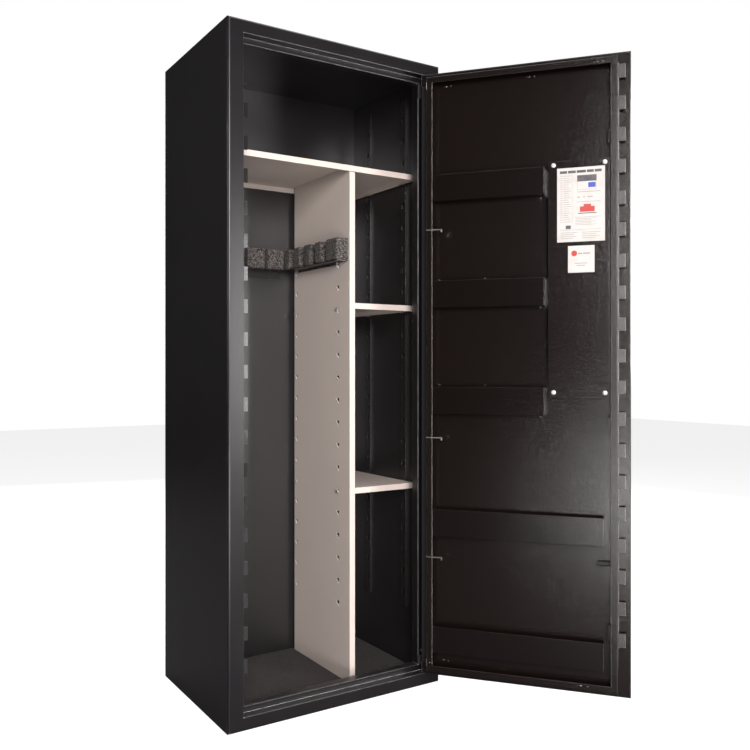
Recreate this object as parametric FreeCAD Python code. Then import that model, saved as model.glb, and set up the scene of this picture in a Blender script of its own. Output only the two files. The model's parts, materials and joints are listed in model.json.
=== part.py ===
"""Gun safe with a comb lock: a folded steel cabinet and a hinged door.

Lengths are millimetres.  Shapes are drawn in cabinet coordinates: x from the left side,
y from the front face towards the back, z up from the floor, with the door shut.
save() moves them to the part's own frame, whose origin is the middle of the base, and
hang() first swings what rides on the door open to the rest position.
"""
import FreeCAD, Part
import math
import os

V = FreeCAD.Vector

# ---- driving dimensions -------------------------------------------------------------
WIDTH = 550.0
DEPTH = 400.0
HEIGHT = 1500.0
SHEET = 2.0                  # cabinet and door sheet
THIN = 1.5                   # shelves, trays and covers

FACE = 30.0                  # front face of the frame: top, bottom and hinge side
LOCK_FACE = 36.0             # front face on the lock side
CORNER_R = 5.0               # folded front corners
REBATE = 22.0                # depth of the rebate that the door sits in
LIP = 14.0                   # stop lip, top and bottom
HINGE_LIP = 18.0
LOCK_LIP = 6.0
LIP_RETURN = 44.0            # depth that the lip's edge is folded back to

DOOR_GAP_Z = 2.0
DOOR_GAP_HINGE = 2.0
DOOR_GAP_LOCK = 1.0
DOOR_THICK = 20.0
DOOR_EDGE_HINGE = 18.0       # depth of the door's edge on the hinge side
HINGE_INSET = 6.0            # pin axis from the door's hinge edge
HINGE_DEPTH = 4.0            # pin axis behind the front face
OPEN_ANGLE = 128.5
PIN_R = 2.5
FIT = 0.05                   # radial clearance of the running fits
PLAY = 0.3                   # clearance of the sliding parts

BOX_INSET = 15.0             # door's inner channel from the door's edge
BOX_DEPTH = 45.0             # its depth behind the front face
BOX_LOCK_X = 64.0
BOX_HINGE_X = 499.0
RIM = 14.0                   # its inward flange

PITCH = 70.0                 # comb teeth
TEETH = 19
TOOTH_HIGH = 30.0
COMB_THICK = 4.0
COMB_TRAVEL = PITCH / 2
FIRST_TOOTH = 127.0          # middle of the lowest cabinet tooth
FRAME_COMB_Y = REBATE + SHEET
DOOR_COMB_Y = FRAME_COMB_Y + COMB_THICK + 1.5

SHELF_TOP = 1252.0
SHELF_MIDDLE = 922.0
SHELF_LOW = 475.0
SHELF_FLANGE = 14.0
PARTITION_X = 350.6
PARTITION_FLANGE = 15.0
INNER_FRONT = 90.0
SLOT = 12.0
SLOT_PITCH = 55.3
SLOT_FIRST = 187.0
SLOT_COUNT = 16
RAIL_DEPTH = 5.0
RAIL_WIDE = 22.0
RAIL_LOW = 151.0
RAIL_HIGH = 1460.0
RAIL_Y = (145.0, 313.0)
PARTITION_SLOT_Y = (148.0, 368.0)

MAT = 4.6
FOAM_LOW = 1025.0
FOAM_HIGH = 1078.0
FOAM_PITCH = 57.0
FOAM_FINGER = 32.0
FOAM_BLOCK = 53.0

SPINDLE_X = 130.0
SPINDLE_Z = 950.0
SPINDLE_R = 6.0
CRANK_R = COMB_TRAVEL / (2 * math.sin(math.radians(45)))
CRANK_PIN_R = 4.0
KEY_X = 137.0
KEY_Z = 1090.0
BOLT_TRAVEL = 12.0
BOLT_LOW = 1048.0
BOLT_HIGH = 1060.0
COVER = (81.0, 215.0, 698.0, 1230.0)
COVER_DEPTH = 44.0
SCREW_X = (91.0, 203.0)
SCREW_Z = (709.5, 1221.0)

ANCHOR_R = 6.0
ANCHOR_X = (125.0, 425.0)
ANCHOR_Y = (120.0, 300.0)

# ---- worked-out places --------------------------------------------------------------
DOOR_X0 = LOCK_FACE + DOOR_GAP_LOCK
DOOR_X1 = WIDTH - FACE - DOOR_GAP_HINGE
DOOR_Z0 = FACE + DOOR_GAP_Z
DOOR_Z1 = HEIGHT - FACE - DOOR_GAP_Z
HINGE_X = DOOR_X1 - HINGE_INSET
PANEL_Y = DOOR_THICK
FLOOR = SHEET + MAT


# ---- helpers ------------------------------------------------------------------------
def box(x0, x1, y0, y1, z0, z1):
    return Part.makeBox(x1 - x0, y1 - y0, z1 - z0, V(x0, y0, z0))


def rod(x, y, z, radius, length, axis):
    return Part.makeCylinder(radius, length, V(x, y, z), V(*axis))


def fuse(shapes):
    solid = shapes[0]
    for other in shapes[1:]:
        solid = solid.fuse(other)
    return solid.removeSplitter()


def ring(outer, inner, y0, y1):
    """A picture frame in the x-z plane: outer and inner are (x0, x1, z0, z1)."""
    body = box(outer[0], outer[1], y0, y1, outer[2], outer[3])
    return body.cut(box(inner[0], inner[1], y0 - 1, y1 + 1, inner[2], inner[3]))


def grow(edges, by):
    return (edges[0] - by, edges[1] + by, edges[2] - by, edges[3] + by)


def round_edges(solid, radius, wanted):
    edges = [edge for edge in solid.Edges if wanted(edge)]
    return solid.makeFillet(radius, edges)


def upright_at(x, y):
    """Picks the straight upright edges that stand at x, y."""
    def wanted(edge):
        ends = [vertex.Point for vertex in edge.Vertexes]
        if len(ends) != 2 or abs(ends[0].z - ends[1].z) < 1:
            return False
        return all(abs(p.x - x) < 0.01 and abs(p.y - y) < 0.01 for p in ends)
    return wanted


def save(name, shape):
    placed = shape.copy()
    placed.translate(V(-WIDTH / 2, -DEPTH / 2, 0))
    placed.exportStep("parts/" + name + ".step")
    print(name, len(placed.Solids), placed.isValid(), round(placed.Volume / 1000, 1), "cm3")


def hang(name, shape):
    """Saves something that rides on the door, swung open."""
    swung = shape.copy()
    swung.rotate(V(HINGE_X, HINGE_DEPTH, 0), V(0, 0, 1), OPEN_ANGLE)
    save(name, swung)


# ---- cabinet ------------------------------------------------------------------------
def body_wrap():
    """Both sides and the back, one folded sheet."""
    fold = CORNER_R + 1.0
    outer = box(0, WIDTH, fold, DEPTH, SHEET, HEIGHT - SHEET)
    outer = round_edges(outer, 3.0, back_corner)
    return outer.cut(box(SHEET, WIDTH - SHEET, 0, DEPTH - SHEET, 0, HEIGHT))


def back_corner(edge):
    """Picks the two upright edges at the back of the cabinet."""
    return upright_at(0, DEPTH)(edge) or upright_at(WIDTH, DEPTH)(edge)


def end_plate(z):
    """Top or bottom sheet, butted against the front frame."""
    solid = box(0, WIDTH, CORNER_R + 1.0, DEPTH, z, z + SHEET)
    return round_edges(solid, 3.0, back_corner)


def floor_plate():
    """Bottom sheet, with four anchor holes that the mat covers."""
    solid = end_plate(0)
    for x in ANCHOR_X:
        for y in ANCHOR_Y:
            solid = solid.cut(rod(x, y, -5, ANCHOR_R, 20, (0, 0, 1)))
    return solid


def frame_folds(door_hole, clear):
    """Picks the folded edges round the opening, on the face and on the stop lip."""
    def on(value, pair):
        return abs(value - pair[0]) < 0.01 or abs(value - pair[1]) < 0.01

    def wanted(edge):
        ends = [vertex.Point for vertex in edge.Vertexes]
        if len(ends) != 2 or edge.Length < 400:
            return False
        for depth, x_pair, z_pair in ((0, door_hole[:2], door_hole[2:]),
                                      (REBATE, (clear[1], clear[1]), clear[2:])):
            if all(abs(p.y - depth) < 0.01 for p in ends):
                upright = abs(ends[0].x - ends[1].x) < 0.01 and on(ends[0].x, x_pair)
                level = abs(ends[0].z - ends[1].z) < 0.01 and on(ends[0].z, z_pair)
                if upright or level:
                    return True
        return False

    return wanted


def front_frame():
    """Folded frame: face, rebate walls, stop lip and the lip's return."""
    fold = CORNER_R + 1.0
    outside = box(0, WIDTH, 0, fold, 0, HEIGHT)

    def front_edge(edge):
        return all(abs(v.Point.y) < 0.01 for v in edge.Vertexes)

    outside = round_edges(outside, CORNER_R, front_edge)
    face = outside.cut(box(SHEET, WIDTH - SHEET, SHEET, fold + 1, SHEET, HEIGHT - SHEET))
    door_hole = (LOCK_FACE, WIDTH - FACE, FACE, HEIGHT - FACE)
    clear = (LOCK_FACE + LOCK_LIP, WIDTH - FACE - HINGE_LIP, FACE + LIP, HEIGHT - FACE - LIP)
    face = face.cut(box(door_hole[0], door_hole[1], -1, fold + 1, door_hole[2], door_hole[3]))
    walls = ring(grow(door_hole, SHEET), door_hole, SHEET / 2, FRAME_COMB_Y)
    lip = ring(grow(door_hole, SHEET), clear, REBATE, FRAME_COMB_Y)
    fold_back = ring(grow(clear, SHEET), clear, REBATE, LIP_RETURN)
    lock_side = box(0, clear[0] + 0.01, FRAME_COMB_Y, LIP_RETURN + 1, clear[2], clear[3])
    solid = fuse([face, walls, lip, fold_back.cut(lock_side)])
    solid = round_edges(solid, SHEET - 0.2, frame_folds(door_hole, clear))
    solid = solid.cut(rod(WIDTH - FACE - HINGE_LIP / 2, REBATE - 5, 78, 2.5, 12, (0, 1, 0)))
    for z in (HEIGHT - FACE - 4, FACE - 16):
        solid = solid.cut(rod(HINGE_X, HINGE_DEPTH, z, PIN_R, 20, (0, 0, 1)))
    return solid


def tooth_middles(first):
    return [first + PITCH * k for k in range(TEETH)]


def comb(root_x, strip_x, tip_x, y, first, margin):
    """A toothed flat bar: the strip runs root_x..strip_x and the teeth reach tip_x."""
    middles = tooth_middles(first)
    low = middles[0] - TOOTH_HIGH / 2 - margin
    high = middles[-1] + TOOTH_HIGH / 2 + margin
    pieces = [box(min(root_x, strip_x), max(root_x, strip_x), y, y + COMB_THICK, low, high)]
    for middle in middles:
        low_x = min(root_x, tip_x)
        high_x = max(root_x, tip_x)
        pieces.append(box(low_x, high_x, y, y + COMB_THICK,
                          middle - TOOTH_HIGH / 2, middle + TOOTH_HIGH / 2))
    return fuse(pieces)


def rails():
    """Shelf standards on both walls: shallow channels with a column of square slots."""
    solids = []
    for wall, inwards in ((SHEET, 1), (WIDTH - SHEET, -1)):
        for y in RAIL_Y:
            near = wall + inwards * RAIL_DEPTH
            x0 = min(wall, near)
            x1 = max(wall, near)
            rail = box(x0, x1, y - RAIL_WIDE / 2, y + RAIL_WIDE / 2, RAIL_LOW, RAIL_HIGH)
            trough0 = x0 if inwards > 0 else x0 + THIN
            trough1 = x1 - THIN if inwards > 0 else x1
            rail = rail.cut(box(trough0, trough1, y - RAIL_WIDE / 2 + THIN,
                                y + RAIL_WIDE / 2 - THIN, RAIL_LOW - 1, RAIL_HIGH + 1))
            for z in slot_heights(RAIL_HIGH):
                rail = rail.cut(box(x0 - 1, x1 + 1, y - SLOT / 2, y + SLOT / 2,
                                    z - SLOT / 2, z + SLOT / 2))
            solids.append(rail)
    return Part.makeCompound(solids)


def slot_heights(limit):
    heights = []
    z = SLOT_FIRST
    while z < limit - SLOT:
        heights.append(z)
        z += SLOT_PITCH
    return heights


def partition():
    """Upright divider with folded front, back and top edges and two slot columns."""
    x0 = PARTITION_X
    front = INNER_FRONT + 2.0
    back = 380.0
    top = SHELF_TOP - THIN
    edge_top = SHELF_TOP - SHELF_FLANGE - 1.0
    solid = fuse([
        box(x0, x0 + THIN, front, back, FLOOR, edge_top),
        box(x0, x0 + THIN, front + 3, back, FLOOR, top),
        box(x0, x0 + PARTITION_FLANGE, front, front + THIN, FLOOR, edge_top),
        box(x0, x0 + PARTITION_FLANGE, back - THIN, back, FLOOR, edge_top)])
    for y in PARTITION_SLOT_Y:
        for k in range(SLOT_COUNT):
            z = SLOT_FIRST + SLOT_PITCH * k
            solid = solid.cut(box(x0 - 1, x0 + THIN + 1, y - SLOT / 2, y + SLOT / 2,
                                  z - SLOT / 2, z + SLOT / 2))
    return solid


def shelf(x0, x1, y0, y1, top):
    """A flat tray upside down, all four edges folded down."""
    outer = box(x0, x1, y0, y1, top - SHELF_FLANGE, top)

    def top_edge(edge):
        return all(abs(v.Point.z - top) < 0.01 for v in edge.Vertexes)

    outer = round_edges(outer, 1.2, top_edge)
    return outer.cut(box(x0 + THIN, x1 - THIN, y0 + THIN, y1 - THIN, top - 100, top - THIN))


def shelf_clips():
    """Bent hooks that sit in the slots under the shelf edges."""
    solids = []
    for top in (SHELF_MIDDLE, SHELF_LOW):
        under = top - SHELF_FLANGE
        for y in PARTITION_SLOT_Y:
            x = PARTITION_X
            seat = box(x - 3, x + 8, y - 5, y + 5, under - THIN, under)
            hook = box(x - 3 - THIN, x - 3, y - 5, y + 5, under - THIN, under + 4)
            solids.append(fuse([seat, hook]))
        for y in RAIL_Y:
            x = WIDTH - SHEET - RAIL_DEPTH
            seat = box(x - 6, x + 3, y - 5, y + 5, under - THIN, under)
            hook = box(x + 3, x + 3 + THIN, y - 5, y + 5, under - THIN, under + 4)
            solids.append(fuse([seat, hook]))
    under = SHELF_TOP - SHELF_FLANGE
    for wall, inwards in ((SHEET + RAIL_DEPTH, 1), (WIDTH - SHEET - RAIL_DEPTH, -1)):
        for y in RAIL_Y:
            x0 = min(wall, wall + inwards * 7)
            solids.append(box(x0, x0 + 7, y - 8, y + 8, under - THIN, under))
    return Part.makeCompound(solids)


def foam_fingers(count, first, wide_first, wide):
    """Start and end of each finger along the rack."""
    spans = []
    end = first + wide_first
    spans.append((first, end))
    for k in range(1, count):
        stop = end + FOAM_PITCH * k
        spans.append((stop - wide, stop))
    return spans


BACK_FINGERS = foam_fingers(6, 12.0, 17.0, FOAM_BLOCK)
SIDE_FINGERS = foam_fingers(5, 95.0, FOAM_BLOCK, FOAM_FINGER)
FOAM_STRIP = 13.0
FOAM_REACH = 35.0


def foam_rack_back():
    wall = DEPTH - SHEET - 0.5
    low = BACK_FINGERS[0][0]
    high = BACK_FINGERS[-1][1]
    pieces = [box(low, high, wall - FOAM_STRIP, wall, FOAM_LOW, FOAM_HIGH)]
    for x0, x1 in BACK_FINGERS:
        pieces.append(box(x0, x1, wall - FOAM_REACH, wall, FOAM_LOW, FOAM_HIGH))
    return fuse(pieces)


def foam_rack_side():
    wall = PARTITION_X - 0.3
    low = SIDE_FINGERS[0][0]
    high = SIDE_FINGERS[-1][1]
    pieces = [box(wall - FOAM_STRIP, wall, low, high, FOAM_LOW, FOAM_HIGH)]
    for y0, y1 in SIDE_FINGERS:
        pieces.append(box(wall - FOAM_REACH, wall, y0, y1, FOAM_LOW, FOAM_HIGH))
    return fuse(pieces)


def rack_carrier(along_back):
    """Folded angle under a foam strip, fixed to the back or to the partition."""
    if along_back:
        wall = DEPTH - SHEET
        seat = box(BACK_FINGERS[0][0], BACK_FINGERS[-1][1], wall - 30, wall,
                   FOAM_LOW - THIN - 0.2, FOAM_LOW - 0.2)
        web = box(BACK_FINGERS[0][0], BACK_FINGERS[-1][1], wall - THIN, wall,
                  FOAM_LOW - 22, FOAM_LOW - 0.2)
        return fuse([seat, web])
    wall = PARTITION_X
    seat = box(wall - 30, wall, SIDE_FINGERS[0][0] + 5, SIDE_FINGERS[-1][1] - 5,
               FOAM_LOW - THIN - 0.2, FOAM_LOW - 0.2)
    web = box(wall - THIN, wall, SIDE_FINGERS[0][0] + 60, SIDE_FINGERS[-1][1] - 20,
              FOAM_LOW - 6.5, FOAM_LOW - 0.2)
    return fuse([seat, web])


# ---- hinges -------------------------------------------------------------------------
def frame_hinge_blocks():
    """Steel blocks welded behind the frame that hold the two hinge pins."""
    upper = box(HINGE_X - 12, HINGE_X + 6, SHEET, 20, HEIGHT - FACE + SHEET, HEIGHT - FACE + 14)
    lower = box(HINGE_X - 12, HINGE_X + 6, SHEET, 20, FACE - 14, FACE - SHEET)
    for z in (HEIGHT - FACE - 4, FACE - 16):
        pin = rod(HINGE_X, HINGE_DEPTH, z, PIN_R, 20, (0, 0, 1))
        upper = upper.cut(pin)
        lower = lower.cut(pin)
    return Part.makeCompound([upper, lower])


def hinge_pins():
    upper = rod(HINGE_X, HINGE_DEPTH, DOOR_Z1 - 24, PIN_R, 40, (0, 0, 1))
    lower = rod(HINGE_X, HINGE_DEPTH, FACE - 14, PIN_R, 40, (0, 0, 1))
    return Part.makeCompound([upper, lower])


def hinge_washers():
    solids = []
    for z in (FACE, HEIGHT - FACE - 1.6):
        disc = rod(HINGE_X, HINGE_DEPTH, z, 3.8, 1.6, (0, 0, 1))
        solids.append(disc.cut(rod(HINGE_X, HINGE_DEPTH, z - 1, PIN_R, 4, (0, 0, 1))))
    return Part.makeCompound(solids)


def hinge_pads():
    """Thin plates on the stop lip behind the two hinge corners."""
    x1 = WIDTH - FACE - 1
    x0 = WIDTH - FACE - HINGE_LIP - 1
    upper = box(x0, x1, REBATE - 1.6, REBATE, 1420, 1456)
    lower = box(x0, x1, REBATE - 1.6, REBATE, 45, 66)
    return Part.makeCompound([upper, lower])


def hinge_corner(z0, z1, oversize):
    """The solid corner of the door that the pin turns in."""
    solid = box(HINGE_X - 16, DOOR_X1, 0, DOOR_EDGE_HINGE, z0, z1)
    solid = round_edges(solid, CORNER_R, upright_at(DOOR_X1, 0))
    if oversize:
        return solid
    return solid.cut(rod(HINGE_X, HINGE_DEPTH, DOOR_Z0 - 1, PIN_R + FIT, HEIGHT, (0, 0, 1)))


# ---- door shells --------------------------------------------------------------------
def door_skin():
    """Outer pan: front sheet and edges, open towards the inside."""
    outer = box(DOOR_X0, DOOR_X1, 0, DOOR_THICK, DOOR_Z0, DOOR_Z1)

    def upright_front(edge):
        return upright_at(DOOR_X0, 0)(edge) or upright_at(DOOR_X1, 0)(edge)

    outer = round_edges(outer, CORNER_R, upright_front)
    pocket = box(DOOR_X0 + SHEET, DOOR_X1 - SHEET, SHEET, DOOR_THICK + 1,
                 DOOR_Z0 + SHEET, DOOR_Z1 - SHEET)
    pocket = round_edges(pocket, CORNER_R - SHEET, lambda e: upright_at(DOOR_X0 + SHEET, SHEET)(e)
                         or upright_at(DOOR_X1 - SHEET, SHEET)(e))
    solid = outer.cut(pocket)
    solid = solid.cut(box(HINGE_X - 10, WIDTH, DOOR_EDGE_HINGE, 30, 0, HEIGHT))
    back_fold = box(HINGE_X - 16, DOOR_X1 - SHEET / 2, DOOR_EDGE_HINGE - SHEET, DOOR_EDGE_HINGE,
                    DOOR_Z0 + SHEET / 2, DOOR_Z1 - SHEET / 2)
    solid = fuse([solid, back_fold])
    solid = solid.cut(hinge_corner(DOOR_Z1 - 28, DOOR_Z1 + 1, True))
    solid = solid.cut(hinge_corner(DOOR_Z0 - 1, DOOR_Z0 + 28, True))
    solid = solid.cut(rod(SPINDLE_X, -1, SPINDLE_Z, SPINDLE_R + 3, 10, (0, 1, 0)))
    return solid.cut(rod(KEY_X, -1, KEY_Z, 9, 10, (0, 1, 0)))


def door_panel():
    """Inner sheet that closes the pan."""
    solid = box(DOOR_X0 + SHEET, HINGE_X - 10, PANEL_Y - SHEET, PANEL_Y,
                DOOR_Z0 + SHEET, DOOR_Z1 - SHEET)
    solid = solid.cut(rod(SPINDLE_X, 10, SPINDLE_Z, SPINDLE_R + 3, 20, (0, 1, 0)))
    return solid.cut(rod(KEY_X, 10, KEY_Z, 9, 20, (0, 1, 0)))


def door_channel():
    """Folded channel round the inside of the door, slotted for the comb."""
    outer = (BOX_LOCK_X, BOX_HINGE_X, DOOR_Z0 + BOX_INSET, DOOR_Z1 - BOX_INSET)
    solid = fuse([
        ring(outer, grow(outer, -SHEET), PANEL_Y, BOX_DEPTH),
        ring(outer, grow(outer, -RIM), BOX_DEPTH - SHEET, BOX_DEPTH)])

    def outer_back(edge):
        return all(abs(v.Point.y - BOX_DEPTH) < 0.01
                   and (abs(v.Point.x - outer[0]) < 0.01 or abs(v.Point.x - outer[1]) < 0.01)
                   for v in edge.Vertexes)

    solid = round_edges(solid, 1.5, outer_back)
    slot_low = FIRST_TOOTH - TOOTH_HIGH / 2 - 14
    slot_high = FIRST_TOOTH + PITCH * (TEETH - 0.5) + TOOTH_HIGH / 2 + 8
    return solid.cut(box(BOX_LOCK_X - 1, BOX_LOCK_X + SHEET + 1, DOOR_COMB_Y - 1.5,
                         DOOR_COMB_Y + COMB_THICK + 1.5, slot_low, slot_high))


def tray(x0, x1, low, high):
    """Pocket on the door: floor, front and two ends; the panel is its back."""
    depth = PANEL_Y + 26.0
    outer = box(x0, x1, PANEL_Y, depth, low, high)
    solid = outer.cut(box(x0 + THIN, x1 - THIN, PANEL_Y - 1, depth - THIN, low + THIN, high + 1))

    def front_fold(edge):
        return all(abs(v.Point.y - depth) < 0.01 and abs(v.Point.z - low) < 0.01
                   for v in edge.Vertexes)

    return round_edges(solid, 1.2, front_fold)


def hooks():
    """Flat steel hooks on the hinge-side rim, tips bent down."""
    solids = []
    for z in (1089.0, 600.0, 318.5):
        arm = box(462, BOX_HINGE_X - 1, BOX_DEPTH, BOX_DEPTH + 7, z, z + THIN)
        tip = box(460.5, 462, BOX_DEPTH, BOX_DEPTH + 7, z - 5, z + THIN)
        solids.append(fuse([arm, tip]))
    return Part.makeCompound(solids)


def stay_peg():
    """Rubber buffer stuck to the panel beside the lock-side rim."""
    return rod(81, PANEL_Y + 5.5, 328, 5.5, 27, (1, 0, 0))


# ---- lock work ----------------------------------------------------------------------
def comb_bar():
    """Sliding toothed bar with its yoke for the crank and its lug for the lock bolt."""
    bar = comb(62.0, 80.0, 48.0, DOOR_COMB_Y, FIRST_TOOTH + COMB_TRAVEL, 3.0)
    pin_z = SPINDLE_Z + CRANK_R * math.sin(math.radians(45))
    far = DOOR_COMB_Y + COMB_THICK
    yoke = box(79, 123, DOOR_COMB_Y, far, pin_z - 12, pin_z + 12)
    half = CRANK_PIN_R + 1.0
    slot = fuse([
        box(104, 114, DOOR_COMB_Y - 1, far + 1, pin_z - half, pin_z + half),
        rod(104, DOOR_COMB_Y - 1, pin_z, half, COMB_THICK + 2, (0, 1, 0)),
        rod(114, DOOR_COMB_Y - 1, pin_z, half, COMB_THICK + 2, (0, 1, 0))])
    lug = box(79, 99, DOOR_COMB_Y, far, BOLT_HIGH + 2, BOLT_HIGH + 20)
    return fuse([bar, yoke.cut(slot), lug])


def comb_guides():
    """Three brackets on the door panel that the comb bar slides in."""
    solids = []
    far = DOOR_COMB_Y + COMB_THICK
    for z in (180.0, 640.0, 1280.0):
        solids.append(fuse([
            box(80 + PLAY, 86, PANEL_Y, far + PLAY + 3, z - 15, z + 15),
            box(68, 86, DOOR_COMB_Y - PLAY - 3, DOOR_COMB_Y - PLAY, z - 15, z + 15),
            box(68, 86, far + PLAY, far + PLAY + 3, z - 15, z + 15)]))
    return Part.makeCompound(solids)


def lock_case():
    """Mortice-style case with a channel for its bolt and room for the key's bit."""
    solid = box(102, 172, PANEL_Y, 38, 1044, 1118)
    solid = round_edges(solid, 3.0, lambda e: abs(e.Length - 18) < 0.01)
    solid = solid.cut(box(101, 154, 27 - PLAY, 36 + PLAY, BOLT_LOW - PLAY, BOLT_HIGH + PLAY))
    solid = solid.cut(box(108, 166, 24, 36, 1064, 1114))
    return solid.cut(rod(KEY_X, PANEL_Y - 1, KEY_Z, 9, 6, (0, 1, 0)))


def lock_bolt():
    return box(102, 150, 27, 36, BOLT_LOW, BOLT_HIGH)


def key_escutcheon():
    """Keyhole plate on the front with its guide tube through the door."""
    plate = rod(KEY_X, -4, KEY_Z, 17, 4, (0, 1, 0))
    plate = plate.makeFillet(1.5, [e for e in plate.Edges
                                   if len(e.Vertexes) == 1 and abs(e.Vertexes[0].Point.y + 4) < 0.01])
    tube = rod(KEY_X, -1, KEY_Z, 8.8, PANEL_Y + 1, (0, 1, 0))
    bore = rod(KEY_X, -5, KEY_Z, 4.0 + FIT, 40, (0, 1, 0))
    return fuse([plate, tube]).cut(bore)


def key():
    """Shank with a pierced bow outside and a bit inside the lock case."""
    shank = rod(KEY_X, -34, KEY_Z, 4.0, 67, (0, 1, 0))
    bow = box(KEY_X - 1.5, KEY_X + 1.5, -58, -32, KEY_Z - 15, KEY_Z + 15)
    bow = round_edges(bow, 9.0, lambda e: abs(e.Length - 3.0) < 0.01)
    bow = bow.cut(rod(KEY_X - 5, -47, KEY_Z, 6.0, 10, (1, 0, 0)))
    bit = box(KEY_X - 1.25, KEY_X + 1.25, 26, 32, KEY_Z - 13, KEY_Z)
    return fuse([shank, bow, bit])


def handle_rose():
    rose = rod(SPINDLE_X, -8, SPINDLE_Z, 26, 8, (0, 1, 0))
    rose = rose.makeFillet(3.0, [e for e in rose.Edges
                                 if len(e.Vertexes) == 1 and abs(e.Vertexes[0].Point.y + 8) < 0.01])
    bush = rod(SPINDLE_X, -1, SPINDLE_Z, SPINDLE_R + 2.8, PANEL_Y + 1, (0, 1, 0))
    bore = rod(SPINDLE_X, -10, SPINDLE_Z, SPINDLE_R + FIT, 40, (0, 1, 0))
    return fuse([rose, bush]).cut(bore)


def spindle():
    return rod(SPINDLE_X, -36, SPINDLE_Z, SPINDLE_R, 60, (0, 1, 0))


def handle_lever():
    """Bar handle, upright while the door is unlocked."""
    hub = rod(SPINDLE_X, -52, SPINDLE_Z, 14, 42, (0, 1, 0))
    grip = rod(SPINDLE_X, -44, SPINDLE_Z - 8, 8, 128, (0, 0, 1))
    grip = grip.makeFillet(3.0, [e for e in grip.Edges if len(e.Vertexes) == 1])
    solid = fuse([hub, grip])
    return solid.cut(rod(SPINDLE_X, -36, SPINDLE_Z, SPINDLE_R, 60, (0, 1, 0)))


def crank():
    """Arm on the spindle's inner end with the pin that works the comb's yoke."""
    reach = CRANK_R * math.sin(math.radians(45))
    pin_x = SPINDLE_X - reach
    pin_z = SPINDLE_Z + reach
    arm = Part.makeBox(CRANK_R, 4, 14, V(0, 0, -7))
    arm.rotate(V(0, 0, 0), V(0, 1, 0), 45 + 180)
    arm.translate(V(SPINDLE_X, 22, SPINDLE_Z))
    hub = rod(SPINDLE_X, 22, SPINDLE_Z, 12, 4, (0, 1, 0))
    end = rod(pin_x, 22, pin_z, 7, 4, (0, 1, 0))
    pin = rod(pin_x, 22, pin_z, CRANK_PIN_R, 14, (0, 1, 0))
    solid = fuse([arm, hub, end, pin])
    return solid.cut(rod(SPINDLE_X, 0, SPINDLE_Z, SPINDLE_R, 24, (0, 1, 0)))


def lock_cover():
    """Folded cover over the lock work, open on the lock side where the comb passes."""
    x0, x1, z0, z1 = COVER
    solid = box(x0, x1, PANEL_Y, COVER_DEPTH, z0, z1)

    def back_edge(edge):
        return all(abs(v.Point.y - COVER_DEPTH) < 0.01 for v in edge.Vertexes)

    solid = round_edges(solid, 1.2, back_edge)
    solid = solid.cut(box(x0 - 1, x1 - THIN, PANEL_Y - 1, COVER_DEPTH - THIN, z0 + THIN, z1 - THIN))
    for x in SCREW_X:
        for z in SCREW_Z:
            solid = solid.cut(rod(x, 30, z, 2.6, 30, (0, 1, 0)))
    return solid


def cover_posts():
    solids = []
    for x in SCREW_X:
        for z in SCREW_Z:
            post = rod(x, PANEL_Y, z, 5.0, COVER_DEPTH - THIN - PANEL_Y, (0, 1, 0))
            solids.append(post.cut(rod(x, PANEL_Y + 8, z, 2.5, 30, (0, 1, 0))))
    return Part.makeCompound(solids)


def cover_screws():
    """Pan-head screws with a domed head."""
    solids = []
    for x in SCREW_X:
        for z in SCREW_Z:
            shank = rod(x, PANEL_Y + 9, z, 2.5, COVER_DEPTH - PANEL_Y - 8, (0, 1, 0))
            head = rod(x, COVER_DEPTH, z, 5.2, 2.6, (0, 1, 0))
            crown = [e for e in head.Edges
                     if len(e.Vertexes) == 1 and e.Vertexes[0].Point.y > COVER_DEPTH + 2]
            head = head.makeFillet(2.0, crown)
            solids.append(fuse([shank, head]))
    return Part.makeCompound(solids)


def label(x0, x1, z0, z1):
    return box(x0, x1, COVER_DEPTH, COVER_DEPTH + 0.4, z0, z1)


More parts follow.
